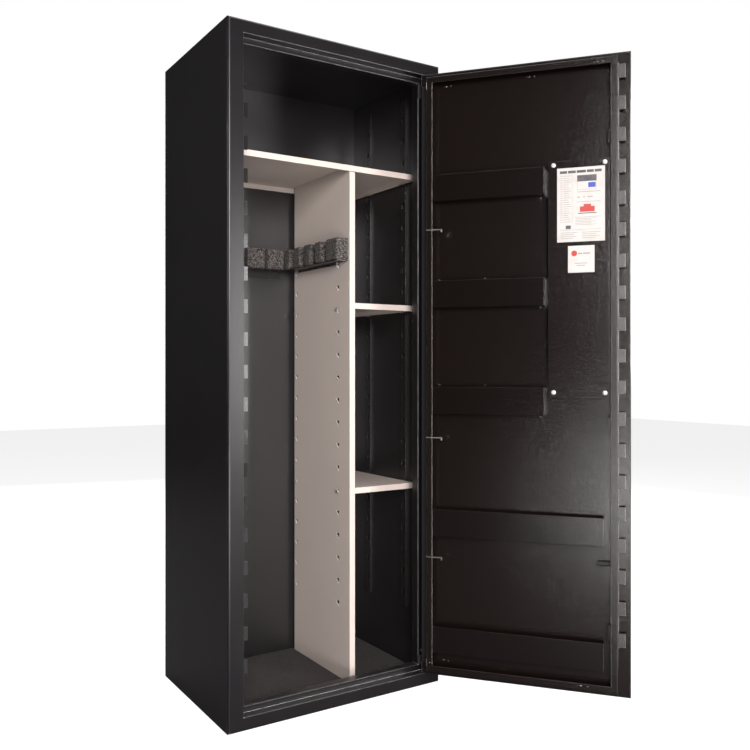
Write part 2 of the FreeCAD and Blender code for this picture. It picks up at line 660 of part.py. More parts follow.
def build():
    os.makedirs("parts", exist_ok=True)
    save("body_wrap", body_wrap())
    save("top_plate", end_plate(HEIGHT - SHEET))
    save("bottom_plate", floor_plate())
    save("front_frame", front_frame())
    save("frame_comb", comb(LOCK_FACE + LOCK_LIP, LOCK_FACE, 55.0, FRAME_COMB_Y, FIRST_TOOTH, 12.0))
    save("shelf_rails", rails())
    save("partition", partition())
    save("top_shelf", shelf(8, WIDTH - 8, INNER_FRONT, DEPTH - 3, SHELF_TOP))
    shelf_x0 = PARTITION_X + THIN + 0.5
    shelf_y0 = INNER_FRONT + 4
    save("middle_shelf", shelf(shelf_x0, WIDTH - 8, shelf_y0, 378, SHELF_MIDDLE))
    save("lower_shelf", shelf(shelf_x0, WIDTH - 8, shelf_y0, 378, SHELF_LOW))
    save("shelf_clips", shelf_clips())
    save("rack_carrier_back", rack_carrier(True))
    save("rack_carrier_side", rack_carrier(False))
    save("foam_rack_back", foam_rack_back())
    save("foam_rack_side", foam_rack_side())
    save("floor_mat", box(SHEET + 1, WIDTH - SHEET - 1, 30, DEPTH - 4, SHEET, FLOOR))
    save("frame_hinge_blocks", frame_hinge_blocks())
    save("hinge_pins", hinge_pins())
    save("hinge_washers", hinge_washers())
    save("hinge_pads", hinge_pads())

    hang("door_skin", door_skin())
    hang("door_panel", door_panel())
    hang("door_channel", door_channel())
    upper = hinge_corner(DOOR_Z1 - 28, DOOR_Z1, False)
    lower = hinge_corner(DOOR_Z0, DOOR_Z0 + 28, False)
    hang("door_hinge_corners", Part.makeCompound([upper, lower]))
    short = (224.0, 484.0)
    long = (94.0, 484.0)
    hang("door_tray_1", tray(*short, 1158.0, 1220.0))
    hang("door_tray_2", tray(*short, 907.0, 970.0))
    hang("door_tray_3", tray(*short, 657.0, 720.0))
    hang("door_tray_4", tray(*long, 368.0, 432.0))
    hang("door_tray_5", tray(*long, 92.0, 155.0))
    hang("door_hooks", hooks())
    hang("door_buffer", stay_peg())
    hang("comb_guides", comb_guides())
    hang("lock_case", lock_case())
    hang("key_escutcheon", key_escutcheon())
    hang("handle_rose", handle_rose())
    hang("lock_cover", lock_cover())
    hang("cover_posts", cover_posts())
    hang("cover_screws", cover_screws())
    hang("label_large", label(91, 195, 1047, 1213))
    hang("label_small", label(113.5, 171, 978, 1038))
    hang("comb_bar", comb_bar())
    hang("lock_bolt", lock_bolt())
    hang("key", key())
    hang("spindle", spindle())
    hang("handle_lever", handle_lever())
    hang("crank", crank())


build()
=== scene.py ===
"""A gun cabinet, 550 x 400 x 1500 mm, with its comb-lock door standing open.

The CAD frame gives every metal part its place. This script gives the parts their
finishes, and adds the pieces that the frame only holds room for: the foam barrel
racks, the felt mat, the shelf tongues, the welds, the label print and the screws.
"""

import json
import math

import bmesh
import bpy
from mathutils import Matrix, Vector, noise

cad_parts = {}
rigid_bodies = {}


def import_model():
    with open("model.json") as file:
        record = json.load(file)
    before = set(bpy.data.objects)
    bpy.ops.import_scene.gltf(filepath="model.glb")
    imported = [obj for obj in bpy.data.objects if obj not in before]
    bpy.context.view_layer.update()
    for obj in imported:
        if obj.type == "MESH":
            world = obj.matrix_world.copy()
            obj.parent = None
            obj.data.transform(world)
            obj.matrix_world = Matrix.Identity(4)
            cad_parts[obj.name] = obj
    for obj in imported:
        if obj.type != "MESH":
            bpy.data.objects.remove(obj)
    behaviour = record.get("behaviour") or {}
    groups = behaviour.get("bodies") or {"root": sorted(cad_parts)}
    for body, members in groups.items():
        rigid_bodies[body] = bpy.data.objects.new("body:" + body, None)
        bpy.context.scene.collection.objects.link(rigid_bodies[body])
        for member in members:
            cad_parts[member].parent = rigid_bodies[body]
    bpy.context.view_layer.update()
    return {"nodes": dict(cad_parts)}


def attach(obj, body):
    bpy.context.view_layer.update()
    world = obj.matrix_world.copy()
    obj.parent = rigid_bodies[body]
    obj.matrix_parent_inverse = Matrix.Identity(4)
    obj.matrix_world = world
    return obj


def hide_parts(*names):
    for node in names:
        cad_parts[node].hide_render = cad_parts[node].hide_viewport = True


MM = 0.001

# Places are first written in cabinet millimetres: x from the left side, y back from
# the front face, z up, with the door shut.
CABINET_MIDDLE = Vector((275.0, 200.0, 0.0))
HINGE_AXIS = Vector((512.0, 4.0, 0.0))
DOOR_OPEN_DEG = 128.5


def cabinet_place():
    """Takes cabinet millimetres to the scene's metres."""
    return Matrix.Scale(MM, 4) @ Matrix.Translation(-CABINET_MIDDLE)


def door_place():
    """Takes millimetres on the shut door to the scene's metres with the door open."""
    turn = Matrix.Rotation(math.radians(DOOR_OPEN_DEG), 4, "Z")
    about_hinge = Matrix.Translation(HINGE_AXIS) @ turn @ Matrix.Translation(-HINGE_AXIS)
    return cabinet_place() @ about_hinge


# ---------------------------------------------------------------- node wiring


def add_node(tree, kind, values=None, **settings):
    """Adds a node, sets its properties, then its sockets by name or number."""
    node = tree.nodes.new("ShaderNode" + kind)
    for key, value in settings.items():
        setattr(node, key, value)
    for key, value in (values or {}).items():
        if isinstance(value, bpy.types.NodeSocket):
            tree.links.new(value, node.inputs[key])
        else:
            node.inputs[key].default_value = value
    return node


def mix_colour(tree, amount, first, second):
    """Mixes two colours and gives the result's socket."""
    node = tree.nodes.new("ShaderNodeMix")
    node.data_type = "RGBA"
    for number, value in ((0, amount), (6, first), (7, second)):
        if isinstance(value, bpy.types.NodeSocket):
            tree.links.new(value, node.inputs[number])
        else:
            node.inputs[number].default_value = value
    return node.outputs[2]


def maths(tree, operation, first, second=0.0):
    """One Math node's output."""
    return add_node(tree, "Math", {0: first, 1: second}, operation=operation).outputs[0]


def remap(tree, value, low, high, to_low, to_high):
    """Maps a value from one range to another, held at the ends."""
    node = add_node(
        tree,
        "MapRange",
        {0: value, 1: low, 2: high, 3: to_low, 4: to_high},
        clamp=True,
    )
    return node.outputs[0]


def new_group(name, inputs, outputs):
    """A shader node group with named sockets, and its two end nodes."""
    group = bpy.data.node_groups.new(name, "ShaderNodeTree")
    for label, kind, value in inputs:
        socket = group.interface.new_socket(label, in_out="INPUT", socket_type=kind)
        if value is not None:
            socket.default_value = value
    for label, kind in outputs:
        group.interface.new_socket(label, in_out="OUTPUT", socket_type=kind)
    start = group.nodes.new("NodeGroupInput")
    end = group.nodes.new("NodeGroupOutput")
    return group, start, end


def place_group(tree, group, values):
    """Places a shared group in a material and sets or links its inputs."""
    node = tree.nodes.new("ShaderNodeGroup")
    node.node_tree = group
    for key, value in values.items():
        if isinstance(value, bpy.types.NodeSocket):
            tree.links.new(value, node.inputs[key])
        else:
            node.inputs[key].default_value = value
    return node


DUST_PALE = (0.30, 0.28, 0.26, 1.0)
DUST_DIM = (0.20, 0.19, 0.18, 1.0)
DUST_DARK = (0.16, 0.145, 0.13, 1.0)
# Near-white painted highlight for the edges of the door's hammered enamel.
PAINTED_EDGE_HIGHLIGHT = (0.70, 0.67, 0.66, 1.0)
RUBBED_DULL = (0.08, 0.08, 0.08, 1.0)
FLOAT = "NodeSocketFloat"
VECTOR = "NodeSocketVector"


def make_orange_peel():
    """Powder coat: rounded pimples with a finer sparkle, as a height and a mottle."""
    group, start, end = new_group(
        "orange_peel",
        [("Place", VECTOR, None), ("Pimples per metre", FLOAT, 500.0)],
        [("Height", FLOAT), ("Mottle", FLOAT)],
    )
    per_metre = start.outputs["Pimples per metre"]
    cells = add_node(
        group,
        "TexVoronoi",
        {"Vector": start.outputs["Place"], "Scale": per_metre},
        feature="SMOOTH_F1",
    )
    cells.inputs["Smoothness"].default_value = 0.6
    ripple = add_node(
        group,
        "TexNoise",
        {"Vector": start.outputs["Place"], "Scale": per_metre, "Detail": 3.0},
    )
    dome = maths(group, "SUBTRACT", 1.0, cells.outputs["Distance"])
    fine = maths(group, "MULTIPLY", ripple.outputs[0], 0.5)
    height = maths(group, "ADD", dome, fine)
    broad = add_node(
        group, "TexNoise", {"Vector": start.outputs["Place"], "Scale": 9.0, "Detail": 4.0}
    )
    group.links.new(height, end.inputs["Height"])
    group.links.new(broad.outputs[0], end.inputs["Mottle"])
    return group


def make_hammered():
    """Hammered enamel: flat-bottomed dents with soft ridges between them."""
    group, start, end = new_group(
        "hammered_enamel",
        [("Place", VECTOR, None), ("Dents per metre", FLOAT, 300.0)],
        [("Height", FLOAT), ("Ridge", FLOAT)],
    )
    bend = add_node(
        group, "TexNoise", {"Vector": start.outputs["Place"], "Scale": 160.0, "Detail": 2.0}
    )
    shift = add_node(
        group, "VectorMath", {0: bend.outputs["Color"], 1: (0.0035,) * 3}, operation="MULTIPLY"
    )
    moved = add_node(group, "VectorMath", {0: start.outputs["Place"], 1: shift.outputs[0]})
    cells = add_node(
        group,
        "TexVoronoi",
        {"Vector": moved.outputs[0], "Scale": start.outputs["Dents per metre"]},
        feature="DISTANCE_TO_EDGE",
    )
    dent = remap(group, cells.outputs["Distance"], 0.0, 0.28, 1.0, 0.0)
    ridge = maths(group, "POWER", dent, 1.6)
    group.links.new(ridge, end.inputs["Height"])
    group.links.new(ridge, end.inputs["Ridge"])
    return group


def make_edge_wear_and_highlight():
    """Rounds a sheet edge's light, and marks patches along it, as rubbed-thin paint on some
    finishes and as a painted highlight on others.
    """
    group, start, end = new_group(
        "edge_wear_and_highlight",
        [
            ("Place", VECTOR, None),
            ("Radius", FLOAT, 0.0009),
            ("Amount", FLOAT, 0.5),
            ("Upright only", FLOAT, 0.0),
            ("Coverage", FLOAT, 0.0),
            ("Patches per metre", FLOAT, 40.0),
        ],
        [("Mask", FLOAT), ("Edge", FLOAT), ("Normal", VECTOR)],
    )
    rounded = add_node(group, "Bevel", {"Radius": start.outputs["Radius"]}, samples=4)
    flat = group.nodes.new("ShaderNodeNewGeometry")
    same = add_node(
        group,
        "VectorMath",
        {0: rounded.outputs[0], 1: flat.outputs["Normal"]},
        operation="DOT_PRODUCT",
    )
    edge = remap(group, same.outputs["Value"], 0.99, 0.85, 0.0, 1.0)
    patches = add_node(
        group,
        "TexNoise",
        {
            "Vector": start.outputs["Place"],
            "Scale": start.outputs["Patches per metre"],
            "Detail": 6.0,
        },
    )
    reach = maths(group, "MULTIPLY", start.outputs["Coverage"], 0.25)
    spread = maths(group, "ADD", patches.outputs[0], reach)
    worn = remap(group, spread, 0.48, 0.66, 0.0, 1.0)
    slope = add_node(group, "SeparateXYZ", {0: rounded.outputs[0]})
    lying = remap(group, maths(group, "ABSOLUTE", slope.outputs["Z"]), 0.1, 0.3, 0.0, 1.0)
    spared = maths(group, "MULTIPLY", lying, start.outputs["Upright only"])
    kept = maths(group, "SUBTRACT", 1.0, spared)
    shown = maths(group, "MULTIPLY", worn, kept)
    mask = maths(group, "MULTIPLY", maths(group, "MULTIPLY", edge, shown), start.outputs["Amount"])
    group.links.new(mask, end.inputs["Mask"])
    group.links.new(edge, end.inputs["Edge"])
    group.links.new(rounded.outputs[0], end.inputs["Normal"])
    return group


def make_dust():
    """Fine dust that settles on level surfaces, in uneven drifts."""
    group, start, end = new_group(
        "settled_dust",
        [("Place", VECTOR, None), ("Amount", FLOAT, 0.4)],
        [("Mask", FLOAT)],
    )
    facing = group.nodes.new("ShaderNodeNewGeometry")
    parts = add_node(group, "SeparateXYZ", {0: facing.outputs["Normal"]})
    level = remap(group, parts.outputs["Z"], 0.7, 1.0, 0.0, 1.0)
    drifts = add_node(
        group, "TexNoise", {"Vector": start.outputs["Place"], "Scale": 46.0, "Detail": 10.0}
    )
    drift = remap(group, drifts.outputs[0], 0.25, 0.85, 0.2, 1.0)
    mask = maths(group, "MULTIPLY", maths(group, "MULTIPLY", level, drift), start.outputs["Amount"])
    group.links.new(mask, end.inputs["Mask"])
    return group


def make_brushed():
    """Fine lines drawn along one direction, for plated and brushed steel."""
    group, start, end = new_group(
        "drawn_lines",
        [("Place", VECTOR, None), ("Stretch", VECTOR, (2000.0, 2000.0, 60.0))],
        [("Height", FLOAT)],
    )
    long_place = add_node(
        group,
        "VectorMath",
        {0: start.outputs["Place"], 1: start.outputs["Stretch"]},
        operation="MULTIPLY",
    )
    lines = add_node(
        group, "TexNoise", {"Vector": long_place.outputs[0], "Scale": 1.0, "Detail": 3.0}
    )
    group.links.new(lines.outputs[0], end.inputs["Height"])
    return group


def make_foam_cells():
    """Open-cell foam: crowded round cells, each a pit with a lighter rim."""
    group, start, end = new_group(
        "foam_cells",
        [("Place", VECTOR, None), ("Cells per metre", FLOAT, 420.0)],
        [("Height", FLOAT), ("Shade", FLOAT)],
    )
    large = add_node(
        group,
        "TexVoronoi",
        {"Vector": start.outputs["Place"], "Scale": start.outputs["Cells per metre"]},
        feature="F1",
    )
    finer = maths(group, "MULTIPLY", start.outputs["Cells per metre"], 2.3)
    small = add_node(
        group, "TexVoronoi", {"Vector": start.outputs["Place"], "Scale": finer}, feature="F1"
    )
    grain = add_node(
        group, "TexNoise", {"Vector": start.outputs["Place"], "Scale": 700.0, "Detail": 4.0}
    )
    pits = maths(group, "ADD", large.outputs["Distance"], small.outputs["Distance"])
    height = maths(group, "ADD", pits, grain.outputs[0])
    shade = remap(group, height, 0.7, 1.6, 0.0, 1.0)
    group.links.new(height, end.inputs["Height"])
    group.links.new(shade, end.inputs["Shade"])
    return group


# ---------------------------------------------------------------- finishes

# An edge that hands have polished has this share of its coat's roughness.
EDGE_POLISH = 0.45
# The wrap's outer faces start just inside these distances from the object's middle.
WRAP_HALF_WIDTH = 0.2742
WRAP_BACK = 0.1992


def start_material(name, roughness, metallic=0.0, coat=0.0, specular=0.5):
    """A new material with its shader, and the object's own coordinates."""
    material = bpy.data.materials.new(name)
    material.use_nodes = True
    tree = material.node_tree
    shader = tree.nodes["Principled BSDF"]
    shader.inputs["Roughness"].default_value = roughness
    shader.inputs["Metallic"].default_value = metallic
    shader.inputs["Coat Weight"].default_value = coat
    shader.inputs["Specular IOR Level"].default_value = specular
    place = tree.nodes.new("ShaderNodeTexCoord").outputs["Object"]
    return material, tree, shader, place


def bump_onto(tree, shader, height, strength, distance, normal=None):
    """Feeds a height to the shader's normal, over a rounded normal if there is one."""
    values = {"Strength": strength, "Distance": distance, "Height": height}
    if normal is not None:
        values["Normal"] = normal
    bump = add_node(tree, "Bump", values)
    tree.links.new(bump.outputs["Normal"], shader.inputs["Normal"])


def painted_steel(name, dark, light, wear_and_highlight_colour, rough, grain, grain_size, edge, dust_amount,
                  specular=0.5, coat=0.0):
    """Powder-coated sheet: mottled colour, orange peel, worn edges and dust; on the frame and
    tongue coats the edge colour is a painted highlight.
    """
    material, tree, shader, place = start_material(name, rough[0], 0.0, coat, specular)
    peel = place_group(
        tree, GROUPS["orange_peel"], {"Place": place, "Pimples per metre": grain_size}
    )
    wear_and_highlight = place_group(
        tree,
        GROUPS["edge_wear_and_highlight"],
        {"Place": place, "Radius": edge[0], "Amount": edge[1], "Coverage": edge[2]},
    )
    dust = place_group(tree, GROUPS["settled_dust"], {"Place": place, "Amount": dust_amount})
    paint = mix_colour(tree, peel.outputs["Mottle"], dark, light)
    # Edge colour: rubbed paint on most coats, painted highlight on the frame and tongue coats.
    rubbed_and_highlighted = mix_colour(tree, wear_and_highlight.outputs["Mask"], paint, wear_and_highlight_colour)
    dusty = mix_colour(tree, dust.outputs["Mask"], rubbed_and_highlighted, DUST_PALE)
    tree.links.new(dusty, shader.inputs["Base Color"])
    roughness = remap(tree, peel.outputs["Mottle"], 0.0, 1.0, rough[0], rough[1])
    duller = maths(tree, "ADD", roughness, maths(tree, "MULTIPLY", dust.outputs["Mask"], 0.3))
    handled = remap(tree, wear_and_highlight.outputs["Edge"], 0.0, 1.0, 1.0, EDGE_POLISH)
    tree.links.new(maths(tree, "MULTIPLY", duller, handled), shader.inputs["Roughness"])
    bump_onto(tree, shader, peel.outputs["Height"], grain[0], grain[1], wear_and_highlight.outputs["Normal"])
    return material


def cabinet_shell(outside, inside):
    """The wrap: pimpled coat outside, and a smoother, glossier coat inside."""
    material, tree, shader, place = start_material("cabinet_shell", 0.45, specular=0.75)
    parts = add_node(tree, "SeparateXYZ", {0: place})
    across = maths(tree, "SUBTRACT", maths(tree, "ABSOLUTE", parts.outputs["X"]), WRAP_HALF_WIDTH)
    behind = maths(tree, "SUBTRACT", parts.outputs["Y"], WRAP_BACK)
    out = maths(tree, "GREATER_THAN", maths(tree, "MAXIMUM", across, behind), 0.0)
    peel = place_group(
        tree, GROUPS["orange_peel"], {"Place": place, "Pimples per metre": outside["pimples"]}
    )
    wear_and_highlight = place_group(
        tree, GROUPS["edge_wear_and_highlight"], {"Place": place, "Radius": 0.0012, "Amount": 0.3}
    )
    dust = place_group(tree, GROUPS["settled_dust"], {"Place": place, "Amount": 0.15})
    mottle = peel.outputs["Mottle"]
    skin = mix_colour(tree, mottle, outside["dark"], outside["light"])
    lining = mix_colour(tree, mottle, inside["dark"], inside["light"])
    paint = mix_colour(tree, out, lining, skin)
    rubbed_and_highlighted = mix_colour(tree, wear_and_highlight.outputs["Mask"], paint, RUBBED_DULL)
    dusty = mix_colour(tree, dust.outputs["Mask"], rubbed_and_highlighted, DUST_DIM)
    tree.links.new(dusty, shader.inputs["Base Color"])
    rough_in = remap(tree, mottle, 0.0, 1.0, inside["rough"], inside["rough"] + 0.02)
    rough_out = remap(tree, mottle, 0.0, 1.0, outside["rough"], outside["rough"] + 0.03)
    step = maths(tree, "MULTIPLY", out, maths(tree, "SUBTRACT", rough_out, rough_in))
    tree.links.new(maths(tree, "ADD", rough_in, step), shader.inputs["Roughness"])
    fade = remap(tree, out, 0.0, 1.0, inside["peel"], 1.0)
    height = maths(tree, "MULTIPLY", peel.outputs["Height"], fade)
    bump_onto(tree, shader, height, 1.0, 0.00006, wear_and_highlight.outputs["Normal"])
    return material


def hammered_steel(name, dark, light, rough, dents, edge_highlight):
    """Hammered enamel on the door's inner side, with a painted highlight in patches along its
    upright edges.
    """
    material, tree, shader, place = start_material(name, rough)
    peel = place_group(tree, GROUPS["orange_peel"], {"Place": place, "Pimples per metre": 900.0})
    hammer = place_group(
        tree, GROUPS["hammered_enamel"], {"Place": place, "Dents per metre": dents[0]}
    )
    wear_and_highlight = place_group(
        tree,
        GROUPS["edge_wear_and_highlight"],
        {
            "Place": place,
            "Radius": edge_highlight[0],
            "Amount": edge_highlight[1],
            "Coverage": edge_highlight[2],
            "Upright only": 0.9,
        },
    )
    dust = place_group(tree, GROUPS["settled_dust"], {"Place": place, "Amount": 0.10})
    paint = mix_colour(tree, hammer.outputs["Ridge"], dark, light)
    # Painted highlight: upright edges turn near-white in patches.
    rubbed_and_highlighted = mix_colour(tree, wear_and_highlight.outputs["Mask"], paint, PAINTED_EDGE_HIGHLIGHT)
    dusty = mix_colour(tree, dust.outputs["Mask"], rubbed_and_highlighted, DUST_DARK)
    tree.links.new(dusty, shader.inputs["Base Color"])
    handled = remap(tree, wear_and_highlight.outputs["Edge"], 0.0, 1.0, rough, rough * EDGE_POLISH)
    tree.links.new(handled, shader.inputs["Roughness"])
    fine = maths(tree, "MULTIPLY", peel.outputs["Height"], 0.12)
    height = maths(tree, "ADD", hammer.outputs["Height"], fine)
    bump_onto(tree, shader, height, 1.0, dents[1], wear_and_highlight.outputs["Normal"])
    return material


def plated_steel(name, colour, stain, rough, stretch, metallic=1.0):
    """Zinc, chrome or nickel: drawn lines, faint stains, rounded edges."""
    material, tree, shader, place = start_material(name, rough, metallic=metallic)
    lines = place_group(tree, GROUPS["drawn_lines"], {"Place": place, "Stretch": stretch})
    wear_and_highlight = place_group(
        tree, GROUPS["edge_wear_and_highlight"], {"Place": place, "Radius": 0.0005, "Amount": 0.3}
    )
    stains = add_node(tree, "TexNoise", {"Vector": place, "Scale": 60.0, "Detail": 6.0})
    amount = remap(tree, stains.outputs[0], 0.35, 0.7, 0.0, 1.0)
    surface = mix_colour(tree, amount, colour, stain)
    tree.links.new(surface, shader.inputs["Base Color"])
    roughness = remap(tree, stains.outputs[0], 0.3, 0.7, rough, rough + 0.14)
    tree.links.new(roughness, shader.inputs["Roughness"])
    bump_onto(tree, shader, lines.outputs["Height"], 0.12, 0.0002, wear_and_highlight.outputs["Normal"])
    return material


def grey_foam():
    """Charcoal-grey open-cell foam, speckled where the cells catch light."""
    material, tree, shader, place = start_material("grey_foam", 0.95, specular=0.15)
    cells = place_group(tree, GROUPS["foam_cells"], {"Place": place, "Cells per metre": 300.0})
    broad = add_node(tree, "TexNoise", {"Vector": place, "Scale": 35.0, "Detail": 3.0})
    base = mix_colour(
        tree, cells.outputs["Shade"], (0.36, 0.33, 0.31, 1.0), (0.018, 0.016, 0.015, 1.0)
    )
    worn = remap(tree, broad.outputs[0], 0.45, 0.7, 0.0, 0.35)
    colour = mix_colour(tree, worn, base, (0.09, 0.082, 0.077, 1.0))
    tree.links.new(colour, shader.inputs["Base Color"])
    bump_onto(tree, shader, cells.outputs["Height"], 0.7, 0.0012)
    shader.inputs["Sheen Weight"].default_value = 0.04
    return material


def felt_mat():
    """Dark brown-grey needle felt, matted in short crossing fibres."""
    material, tree, shader, place = start_material("felt_mat", 0.95, specular=0.1)
    fibres = add_node(
        tree, "TexNoise", {"Vector": place, "Scale": 420.0, "Detail": 6.0, "Distortion": 2.2}
    )
    tufts = add_node(tree, "TexVoronoi", {"Vector": place, "Scale": 260.0}, feature="F1")
    both = maths(tree, "ADD", fibres.outputs[0], tufts.outputs["Distance"])
    shade = remap(tree, both, 0.6, 1.2, 0.0, 1.0)
    base = mix_colour(tree, shade, (0.011, 0.009, 0.008, 1.0), (0.040, 0.034, 0.031, 1.0))
    lint = add_node(tree, "TexNoise", {"Vector": place, "Scale": 1300.0, "Detail": 2.0})
    flecks = remap(tree, lint.outputs[0], 0.66, 0.72, 0.0, 0.6)
    colour = mix_colour(tree, flecks, base, (0.13, 0.12, 0.11, 1.0))
    tree.links.new(colour, shader.inputs["Base Color"])
    bump_onto(tree, shader, both, 0.6, 0.0015)
    shader.inputs["Sheen Weight"].default_value = 0.05
    return material


def black_rubber():
    """Matt black rubber with a faint moulded grain."""
    material, tree, shader, place = start_material("black_rubber", 0.7, specular=0.3)
    peel = place_group(tree, GROUPS["orange_peel"], {"Place": place, "Pimples per metre": 1500.0})
    colour = mix_colour(
        tree, peel.outputs["Mottle"], (0.012, 0.012, 0.012, 1.0), (0.03, 0.028, 0.027, 1.0)
    )
    tree.links.new(colour, shader.inputs["Base Color"])
    bump_onto(tree, shader, peel.outputs["Height"], 0.15, 0.0003)
    return material


def printed_paper(name, colour, aged):
    """Smooth label stock or ink, slightly uneven and yellowed."""
    material, tree, shader, place = start_material(name, 0.45, specular=0.4)
    stains = add_node(tree, "TexNoise", {"Vector": place, "Scale": 45.0, "Detail": 5.0})
    amount = remap(tree, stains.outputs[0], 0.4, 0.75, 0.0, 1.0)
    tree.links.new(mix_colour(tree, amount, colour, aged), shader.inputs["Base Color"])
    fibre = add_node(tree, "TexNoise", {"Vector": place, "Scale": 1800.0, "Detail": 2.0})
    bump_onto(tree, shader, fibre.outputs[0], 0.08, 0.0001)
    return material


GROUPS = {
    "orange_peel": make_orange_peel(),
    "hammered_enamel": make_hammered(),
    "edge_wear_and_highlight": make_edge_wear_and_highlight(),
    "settled_dust": make_dust(),
    "drawn_lines": make_brushed(),
    "foam_cells": make_foam_cells(),
}


def assign(names, material):
    """Gives CAD nodes their finish."""
    for name in names:
        node = NODES[name]
        node.data.materials.clear()
        node.data.materials.append(material)


# ---------------------------------------------------------------- piece helpers


def settle(bm, name, place, body, materials, smooth=True):
    """Turns a bmesh in millimetres into a finished piece on its body."""
    bmesh.ops.transform(bm, matrix=place, verts=bm.verts)
    bmesh.ops.remove_doubles(bm, verts=bm.verts, dist=0.00001)
    bmesh.ops.recalc_face_normals(bm, faces=bm.faces)
    for face in bm.faces:
        face.smooth = smooth
    mesh = bpy.data.meshes.new(name)
    bm.to_mesh(mesh)
    bm.free()
    piece = bpy.data.objects.new(name, mesh)
    bpy.context.scene.collection.objects.link(piece)
    for material in materials:
        mesh.materials.append(material)
    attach(piece, body)
    return piece


def block(bm, low, high, round_by=0.0, segments=2, turn=None, material=0):
    """A box between two corners, its edges rounded, turned about its own middle."""
    low = Vector(low)
    high = Vector(high)
    size = high - low
    made = bmesh.ops.create_cube(bm, size=1.0)
    verts = made["verts"]
    bmesh.ops.scale(bm, vec=size, verts=verts)
    if round_by:
        edges = list({edge for vert in verts for edge in vert.link_edges})
        done = bmesh.ops.bevel(
            bm,
            geom=edges,
            offset=round_by,
            segments=segments,
            profile=0.5,
            affect="EDGES",
            material=-1,
        )
        verts = list({vert for face in done["faces"] for vert in face.verts})
        linked = set(verts)
        for vert in list(linked):
            for face in vert.link_faces:
                linked.update(face.verts)
        verts = list(linked)
    if turn is not None:
        bmesh.ops.rotate(bm, cent=(0, 0, 0), matrix=turn, verts=verts)
    bmesh.ops.translate(bm, vec=(low + high) / 2, verts=verts)
    for vert in verts:
        for face in vert.link_faces:
            face.material_index = material
    return verts


# ---------------------------------------------------------------- foam and felt

FOAM_VOXEL = 0.0021
RACK_FOOT = 1025.2
RACK_TOP = 1077.8


def voxel_skin(bm, name, voxel):
    """Closes a rough body into one even skin of small faces."""
    mesh = bpy.data.meshes.new(name + "_rough")
    bm.to_mesh(mesh)
    bm.free()
    rough = bpy.data.objects.new(name + "_rough", mesh)
    bpy.context.scene.collection.objects.link(rough)
    remesh = rough.modifiers.new("even_skin", "REMESH")
    remesh.mode = "VOXEL"
    remesh.voxel_size = voxel
    remesh.use_smooth_shade = True
    graph = bpy.context.evaluated_depsgraph_get()
    skin = bpy.data.meshes.new_from_object(rough.evaluated_get(graph))
    bpy.data.objects.remove(rough)
    bpy.data.meshes.remove(mesh)
    skinned = bmesh.new()
    skinned.from_mesh(skin)
    bpy.data.meshes.remove(skin)
    return skinned


def crumble(bm, seed, depth, crumb_depth):
    """Softens the cut edges of a foam body and picks small crumbs out of them."""
    before = {vert: vert.co.copy() for vert in bm.verts}
    for _ in range(2):
        bmesh.ops.smooth_vert(
            bm, verts=bm.verts, factor=0.5, use_axis_x=True, use_axis_y=True, use_axis_z=True
        )
    bm.normal_update()
    offset = Vector((seed * 3.1, seed * 1.7, seed * 2.3))
    for vert in bm.verts:
        sunk = (before[vert] - vert.co).length
        edge_share = min(1.0, sunk / 0.0004)
        coarse = noise.noise(vert.co * 150.0 + offset)
        fine = noise.noise(vert.co * 260.0 + offset)
        pick = max(0.0, coarse) * edge_share * crumb_depth
        vert.co -= vert.normal * (depth * (0.5 + fine) + pick)


def foam_rack(name, node, spine, fingers, seed):
    """One foam strip with upright barrel slots cut between its fingers."""
    bm = bmesh.new()
    block(bm, spine[0], spine[1])
    for low, high in fingers:
        block(bm, low, high)
    bmesh.ops.transform(bm, matrix=cabinet_place(), verts=bm.verts)
    bm = voxel_skin(bm, name, FOAM_VOXEL)
    crumble(bm, seed, 0.0008, 0.0026)
    piece = settle(
        bm, name, Matrix.Identity(4), "cabinet", [FINISH["grey_foam"]]
    )
    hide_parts(node)
    return piece


def foam_racks():
    """The back rack's wide blocks and the side rack's fingers."""
    low, high = RACK_FOOT, RACK_TOP
    back_spans = ((12, 28), (35, 85), (92, 142), (149, 199), (206, 256), (263, 312))
    side_spans = ((95, 148), (173, 205), (230, 262), (287, 319), (344, 376))
    back = [((a, 362.7, low), (b, 386.0, high)) for a, b in back_spans]
    side = [((315.5, a, low), (339.0, b, high)) for a, b in side_spans]
    back_spine = ((12.0, 384.0, low), (312.0, 397.3, high))
    side_spine = ((337.0, 95.0, low), (350.1, 376.0, high))
    foam_rack("barrel_rack_back", "foam_rack_back", back_spine, back, 1)
    foam_rack("barrel_rack_side", "foam_rack_side", side_spine, side, 2)


